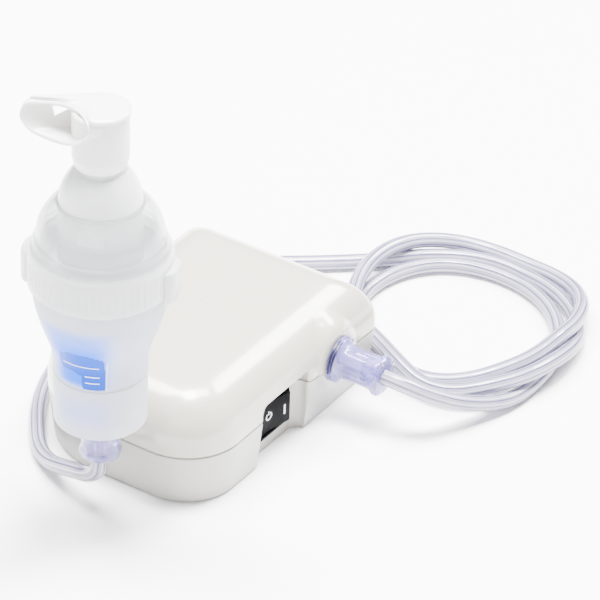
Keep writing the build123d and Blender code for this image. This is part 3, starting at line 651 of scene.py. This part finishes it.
# ------------------------------------------------------------------ medication cup
CUP_OUT = smooth([(16.3, 45.6), (16.3, 52.0), (16.3, 58.0), (16.3, 63.6), (16.48, 64.1), (16.48, 64.6), (16.3, 65.1), (16.35, 67.0), (16.9, 73.0), (18.5, 78.5), (20.6, 84.6), (22.4, 91.0), (23.3, 96.5), (23.5, 100.0), (23.5, 104.0)], 12)
WIN = [(253.5, 74.6), (259.0, 79.8), (272.0, 81.6), (290.0, 82.0), (307.2, 80.2), (310.8, 78.6), (312.4, 65.6), (284.0, 65.6), (282.6, 70.9), (275.2, 72.0), (257.8, 72.3)]
def inside(poly, x, y):
    c = False
    for i in range(len(poly)):
        (x1, y1), (x2, y2) = poly[i], poly[i - 1]
        if (y1 > y) != (y2 > y) and x < (x2 - x1) * (y - y1) / (y2 - y1) + x1:
            c = not c
    return c
def make_cup():
    inner = smooth([(22.3, 104.0), (22.3, 97.2), (21.3, 92.0), (19.3, 84.9), (17.2, 78.9), (15.7, 73.4), (15.05, 68.0)], 8)
    prof = [(15.0, 44.8), (15.3, 44.45), (15.9, 44.4), (16.2, 44.7), (16.3, 45.1)] + CUP_OUT + [(23.5, 112.2), (23.3, 112.55), (22.5, 112.6), (22.3, 112.3)] + inner
    prof += [(15.0, 65.8), (12.0, 65.0), (9.0, 64.5), (4.2, 64.2), (3.0, 74.0), (1.6, 77.0), (0.5, 77.0), (0.5, 70.0), (1.3, 66.0), (1.3, 41.0), (2.9, 41.0), (3.0, 42.0), (3.0, 50.6), (4.6, 50.6), (4.6, 62.6),
             (14.2, 62.6), (15.0, 61.8)]
    ob = mesh_obj("cup_shell", *revolve(prof, 288), M["cup"], "cup", ("medication_cup",), 40, "cup_frosted")
    me = ob.data
    w = me.attributes.new("window", "FLOAT", "POINT")
    # per-vertex strength of the painted blue glow
    g = me.attributes.new("painted_glow", "FLOAT", "POINT")
    for v in me.vertices:
        x, y, z = v.co.x / MM - KX, v.co.y / MM - KY, v.co.z / MM
        r, th = hypot(x, y), degrees(atan2(y, x)) % 360
        w.data[v.index].value = 1.0 if (r > 14.5 and 65 < z < 83 and inside(WIN, th, z)) else 0.0
        # painted glow strength: fades above z 85 to 92, starts at z 66 with a faint band near z 55, strongest within
        # about 35 degrees of the window's bearing (281 degrees)
        a = 0.0
        if 40 < z < 96:
            top = 0.8 / (1 + exp((z - 92.5) / 0.9)) + 0.2 / (1 + exp((z - 85.0) / 1.4))
            low = 1 / (1 + exp((66.0 - z) / 0.5)) + 0.42 / (1 + exp((z - 66) / 0.4)) * exp(-((z - 55) / 7.5) ** 2)
            d = ((th - 281 + 180) % 360 - 180)
            side = 1 / (1 + exp((abs(d) - 35) / 4.5))
            a = top * low * (0.10 + 0.90 * side)
        g.data[v.index].value = a if r > 14 else 0.0
    # white scale lines on the wall
    V, F = [], []
    def strip(t0, z0, t1, z1, wdt):
        nonlocal V, F
        n = 18
        P = []
        for k in range(n + 1):
            u = k / n
            th, zz = radians(t0 + (t1 - t0) * u), z0 + (z1 - z0) * u
            dth, dz = radians(t1 - t0) * 17, z1 - z0
            L = hypot(dth, dz)
            nx, nz = -dz / L, dth / L
            for s in (-1, 1):
                for o in (-0.05, 0.12):
                    zz2 = zz + nz * wdt * s
                    r = cup_r(zz2) + o
                    t2 = th + nx * wdt * s / 17
                    P.append((KX + r * cos(t2), KY + r * sin(t2), zz2))
        idx = [0, 1, 3, 2]
        f = []
        for k in range(n):
            for q in range(4):
                a, b = 4 * k + idx[q], 4 * k + idx[(q + 1) % 4]
                f.append((a, b, b + 4, a + 4))
        f.append(tuple(idx))
        f.append(tuple(4 * n + i for i in idx[::-1]))
        V, F = join_mesh((V, F), (P, f))
    for a in ((260.5, 75.6, 304.6, 75.6), (287.6, 71.3, 304.9, 71.3), (287.6, 68.6, 304.9, 68.6)):
        strip(*a, 0.17)
    strip(313.4, 78.4, 313.4, 65.4, 0.13)
    mesh_obj("cup_scale", V, F, M["white"], "cup", (), 40, "cup_frosted")
def cup_r(z):
    for (r1, z1), (r2, z2) in zip(CUP_OUT, CUP_OUT[1:]):
        if z1 <= z <= z2:
            return r1 + (r2 - r1) * (z - z1) / max(1e-6, z2 - z1)
    return 16.3
make_cup()

# ------------------------------------------------------------------ vaporizer head
def make_head():
    prof = [(12.6, 66.6), (13.2, 66.6), (13.4, 67.0), (13.4, 69.0)] + smooth([(13.2, 69.6), (12.0, 73.5), (9.4, 79.0), (7.4, 84.0), (6.6, 87.4)], 5) + [(6.2, 88.0), (0.4, 88.0), (0.4, 80.6), (2.2, 80.6), (4.2, 75.0), (5.6, 68.4), (12.4, 68.4)]
    parts = [revolve(prof, 96)]
    for k in range(3):
        a = radians(90 + 120 * k)
        c, s = cos(a), sin(a)
        V = []
        for w in (-0.7, 0.7):
            for r, z in ((7.0, 66.8), (12.6, 66.8), (12.6, 74.0), (10.2, 80.0), (8.2, 84.0), (7.0, 84.0)):
                V.append((KX + r * c - w * s, KY + r * s + w * c, z))
        F = [(5, 4, 3, 2, 1, 0), (6, 7, 8, 9, 10, 11)] + [(i, (i + 1) % 6, 6 + (i + 1) % 6, 6 + i) for i in range(6)]
        parts.append((V, F))
    mesh_obj("vaporizer_blue", *join_mesh(*parts), M["blue"], "vaporizer", ("vaporizer_head",), 35, "head_blue")
make_head()

# ------------------------------------------------------------------ inhalation top
def make_top():
    outer = smooth([(24.95, 101.4), (24.95, 106.0), (24.95, 110.5), (24.7, 112.6), (24.1, 114.4), (23.2, 115.8), (22.7, 117.2)], 4)
    outer += [(22.6, 118.2), (22.1, 118.8)] + smooth([(21.95, 119.5), (21.2, 124.0), (19.2, 128.0), (17.0, 130.8), (15.6, 132.2), (15.0, 132.9)], 5) + [(14.45, 133.0), (14.45, 131.4)]
    neck = [(14.4, 98.6), (14.4, 131.2), (14.4, 133.2)] + smooth([(14.3, 133.8), (13.7, 136.8), (12.4, 140.2), (10.7, 143.0), (9.2, 144.9)], 5) + [(8.4, 145.5), (8.0, 146.2), (8.0, 157.6), (7.7, 158.0), (6.9, 158.0), (6.7, 157.6), (6.7, 145.2)]
    inner = smooth([(7.4, 144.4), (8.4, 143.4), (10.0, 141.2), (11.6, 138.4), (12.5, 136.0), (13.0, 133.8)], 3) + [(13.0, 98.6), (13.2, 98.4), (14.2, 98.4)]
    dome_in = smooth([(14.9, 130.8), (18.0, 127.3), (20.0, 123.4), (20.9, 119.2)], 4) + [(21.2, 113.3), (23.9, 113.2), (23.9, 100.8), (24.1, 100.6), (24.75, 100.6), (24.95, 100.8)]
    def rad(t, r, z):
        if 102.6 < z < 111.5 and r > 24.5:
            return r + 0.0 - 0.34 * max(0.0, cos(60 * t)) * min(1, (z - 102.6) / 0.6, (111.5 - z) / 0.6)
        return r
    parts = [revolve(outer + dome_in, 432, KX, KY, rad)]
    ob = mesh_obj("top_neck_frosted", *revolve(neck + inner, 216), M["dome"], "top", (), 32, "top_frosted")
    # grip tabs, curved plates with rounded ends
    for k in (0, 1):
        V, F = [], []
        lv = [(98.2, 0.8), (98.6, 0.25), (99.4, 0.0), (109.4, 0.0), (110.2, 0.25), (110.6, 0.8)]
        n = 22
        for z, ins in lv:
            loop = []
            for j in range(n + 1):
                u = -1 + 2 * j / n
                t = radians(19.6 + 180 * k + 15.0 * u)
                r = 27.5 - ins - 2.3 * abs(u) ** 4
                loop.append((KX + r * cos(t), KY + r * sin(t), z))
            for j in range(n, -1, -1):
                u = -1 + 2 * j / n
                t = radians(19.6 + 180 * k + 15.0 * u)
                loop.append((KX + 24.2 * cos(t), KY + 24.2 * sin(t), z))
            V += loop
        m = 2 * (n + 1)
        F = grid_faces(len(lv), m)
        F.append(tuple(range(m - 1, -1, -1)))
        F.append(tuple((len(lv) - 1) * m + i for i in range(m)))
        parts.append((V, F))
    ob = mesh_obj("top_shell_frosted", *join_mesh(*parts), M["clear"], "top", ("inhalation_top",), 32, "top_frosted")
    w = ob.data.attributes.new("window", "FLOAT", "POINT")
    for v in ob.data.vertices:
        z = v.co.z / MM
        w.data[v.index].value = min(1.0, max(0.0, (z - 113.6) / 1.6))
make_top()

# ------------------------------------------------------------------ mouthpiece
def make_mouth():
    # plan directions: a runs to the tip of the duct, b to its open side
    a = (cos(radians(213.0)), sin(radians(213.0)))
    b = (cos(radians(303.0)), sin(radians(303.0)))
    def W(u, v, z):
        return (KX + u * a[0] + v * b[0], KY + u * a[1] + v * b[1], z)
    sock = [(8.12, 147.5), (8.4, 147.2), (9.0, 147.2), (9.15, 147.4), (9.2, 148.9), (9.55, 149.7), (9.7, 150.8), (9.75, 152.0), (9.75, 166.4), (9.6, 167.0), (9.0, 167.5), (8.12, 167.5)]
    mesh_obj("mouthpiece_socket", *revolve(sock, 128), M["mouth"], "mouthpiece", (), 45, "mouth_white")
    # the lip of the slanted mouth, as (u, v, z)
    lip = [(26.5, -5.0, 162.2), (25.7, -5.5, 165.2), (23.9, -5.6, 167.0), (18.4, -4.6, 167.7), (12.4, -2.2, 168.2), (8.0, 1.3, 168.4), (5.2, 5.4, 168.4), (3.4, 9.3, 167.4),
           (3.4, 9.9, 164.6), (5.3, 9.2, 161.2), (8.6, 6.6, 158.2), (12.9, 3.6, 156.8), (17.6, 0.6, 156.5), (22.6, -2.4, 157.2), (25.4, -4.1, 159.3)]
    P, N, sub = [], len(lip), 8
    for i in range(N):
        p0, p1, p2, p3 = lip[i - 1], lip[i], lip[(i + 1) % N], lip[(i + 2) % N]
        for k in range(sub):
            t = k / sub
            P.append(tuple(0.5 * (2 * q + (r - p) * t + (2 * p - 5 * q + 4 * r - w) * t * t + (3 * q - p - 3 * r + w) * t ** 3) for p, q, r, w in zip(p0, p1, p2, p3)))
    n = len(P)
    cv, cz = 1.4, 162.6
    def inward(v, z, d):
        L = hypot(v - cv, z - cz)
        f = max(0.05, (L - d) / L)
        return cv + (v - cv) * f, cz + (z - cz) * f
    rows = []
    # (share of the way to the tip, inward offset, forward offset)
    for k, d, fwd in ((0.0, 1.5, 0.0), (0.02, 0.1, 0.0), (0.12, 0.0, 0.0), (0.3, 0.0, 0.0), (0.5, 0.05, 0.0), (0.7, 0.05, 0.0), (0.84, 0.05, 0.0), (0.93, 0.0, 0.0), (0.965, -0.15, 0.0), (0.99, -0.45, 0.0), (1.0, -0.6, 0.25),
                      (1.0, -0.45, 0.75), (1.0, -0.1, 1.05), (1.0, 0.4, 1.1), (1.0, 0.85, 0.85), (1.0, 1.15, 0.35), (0.99, 1.3, 0.0), (0.95, 1.4, 0.0), (0.85, 1.45, 0.0), (0.7, 1.5, 0.0), (0.5, 1.5, 0.0), (0.3, 1.5, 0.0), (0.12, 1.55, 0.0), (0.06, 2.2, 0.0)):
        row = []
        for (u, v, z) in P:
            back = 1.0 - k
            vv = v - (2.2 * back if v < 0 else 0.0) * (1 - 0.3 * back)
            uu = -1.0 + (u + 1.0) * k
            vv, zz = inward(vv, z, d)
            # the rolled lip leans out of the mouth's plane
            uu += fwd * 0.55
            vv += fwd * 0.83
            row.append(W(uu, vv, min(zz, 169.2)))
        rows.append(row)
    V = [p for r in rows for p in r]
    F = grid_faces(len(rows), n)
    F.append(tuple(range(n - 1, -1, -1)))
    F.append(tuple((len(rows) - 1) * n + i for i in range(n)))
    ob = mesh_obj("mouthpiece_white", V, F, M["mouth"], "mouthpiece", ("mouthpiece",), 50, "mouth_white")
    slot = []
    for v in (-14.0, -2.0):
        for u, zz in ((16.4, 165.4), (15.4, 161.4), (12.4, 163.0), (9.0, 164.4), (9.4, 165.6)):
            slot.append(W(u, v, zz))
    SF = [(4, 3, 2, 1, 0), (5, 6, 7, 8, 9)] + [(i, (i + 1) % 5, 5 + (i + 1) % 5, 5 + i) for i in range(5)]
    carve(ob, [cylm(KX, KY, 140, 8.12, 27.4, "z", 96), (slot, SF)], 0.0, 50)
    # domed roof over the socket and the back of the duct
    edge = smooth([(-10.1, 0.8), (-9.0, 5.2), (-5.2, 8.9), (-0.6, 10.1), (3.0, 9.6), (5.4, 5.6), (8.6, 1.4), (13.0, -1.9), (18.6, -4.2), (23.6, -5.6), (22.4, -6.7), (17.0, -7.3), (10.0, -8.3), (4.0, -9.2), (-1.0, -9.8), (-6.0, -8.2), (-9.2, -4.4)], 8, closed=True)
    prof = [(0.97, 167.0), (1.0, 167.3), (1.0, 167.9), (0.985, 168.3), (0.95, 168.65), (0.88, 168.95), (0.75, 169.3), (0.55, 169.65), (0.3, 169.95), (0.1, 170.05)]
    V, cu, cvr = [], 2.5, 0.0
    for sc, z in prof:
        V += [W(cu + (p[0] - cu) * sc, cvr + (p[1] - cvr) * sc, z) for p in edge]
    m = len(edge)
    F = grid_faces(len(prof), m)
    F.append(tuple(range(m - 1, -1, -1)))
    F.append(tuple((len(prof) - 1) * m + i for i in range(m)))
    mesh_obj("mouthpiece_roof", V, F, M["mouth"], "mouthpiece", (), 45, "mouth_white")
make_mouth()

# ------------------------------------------------------------------ CAD nodes that stay: their materials
LOOK = {"rubber_feet": "foot", "housing_screws": "screw", "switch_frame": "black", "rocker_pin": "steel", "air_outlet_port": "white", "kit_holder": "holder",
        "power_jack": "dark", "filter_seat": "white", "air_filter": "felt", "filter_cover": "base_shell", "circuit_board": "board", "motor_can": "can",
        "motor_end_bell": "dark", "motor_rotor": "copper", "motor_shaft": "steel", "crank_disc": "brass", "piston": "acetal", "pump_cylinder": "alloy",
        "cylinder_head": "alloy", "valve_plate": "steel", "head_screws": "screw", "inner_hose": "hose", "motor_cradle": "grey", "motor_dampers": "rubber"}
for node, key in LOOK.items():
    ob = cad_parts[node]
    if not ob.material_slots:
        ob.data.materials.append(M[key])
    for s in ob.material_slots:
        s.material = M[key]

# ------------------------------------------------------------------ floor and light
def make_stage():
    me = bpy.data.meshes.new("floor")
    s = 6.0
    me.from_pydata([(-s, -s, 0), (s, -s, 0), (s, s, 0), (-s, s, 0)], [], [(0, 1, 2, 3)])
    ob = bpy.data.objects.new("floor", me)
    scene.collection.objects.link(ob)
    m = plastic("floor_pale", (0.93, 0.93, 0.93), (0.92, 0.92, 0.92), 0.7, 0.04, 3, 0.0, 800)
    m.node_tree.nodes["Principled BSDF"].inputs["Specular IOR Level"].default_value = 0.1
    me.materials.append(m)
    ob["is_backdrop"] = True
    w = bpy.data.worlds.new("world")
    w.use_nodes = True
    w.node_tree.nodes["Background"].inputs[0].default_value = (1, 1, 1, 1)
    w.node_tree.nodes["Background"].inputs[1].default_value = 0.80
    scene.world = w
    def area(name, loc, size, power, col=(1, 1, 1), target=(0.0, 0.0, 0.05)):
        li = bpy.data.lights.new(name, "AREA")
        li.shape = "RECTANGLE"
        li.size, li.size_y = size
        li.energy = power
        li.color = col
        o = bpy.data.objects.new(name, li)
        scene.collection.objects.link(o)
        d = Vector(target) - Vector(loc)
        o.rotation_euler = d.to_track_quat("-Z", "Y").to_euler()
        o.location = loc
    area("key", (0.05, 0.10, 1.5), (0.45, 0.45), 112)
    area("roll_left", (-0.62, -0.08, 1.35), (0.5, 0.3), 40)
    area("roll_left_mid", (-0.34, -0.06, 1.45), (0.35, 0.3), 36)
    area("roll_right_mid", (0.26, 0.46, 1.35), (0.35, 0.35), 34)
    area("roll_right", (0.28, 0.92, 0.92), (0.5, 0.3), 42)
    area("front_soft", (0.3, -1.2, 0.9), (1.2, 0.6), 9)
make_stage()

NEW_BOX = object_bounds()
def plain(b):
    return [[float(x) for x in v] for v in b]
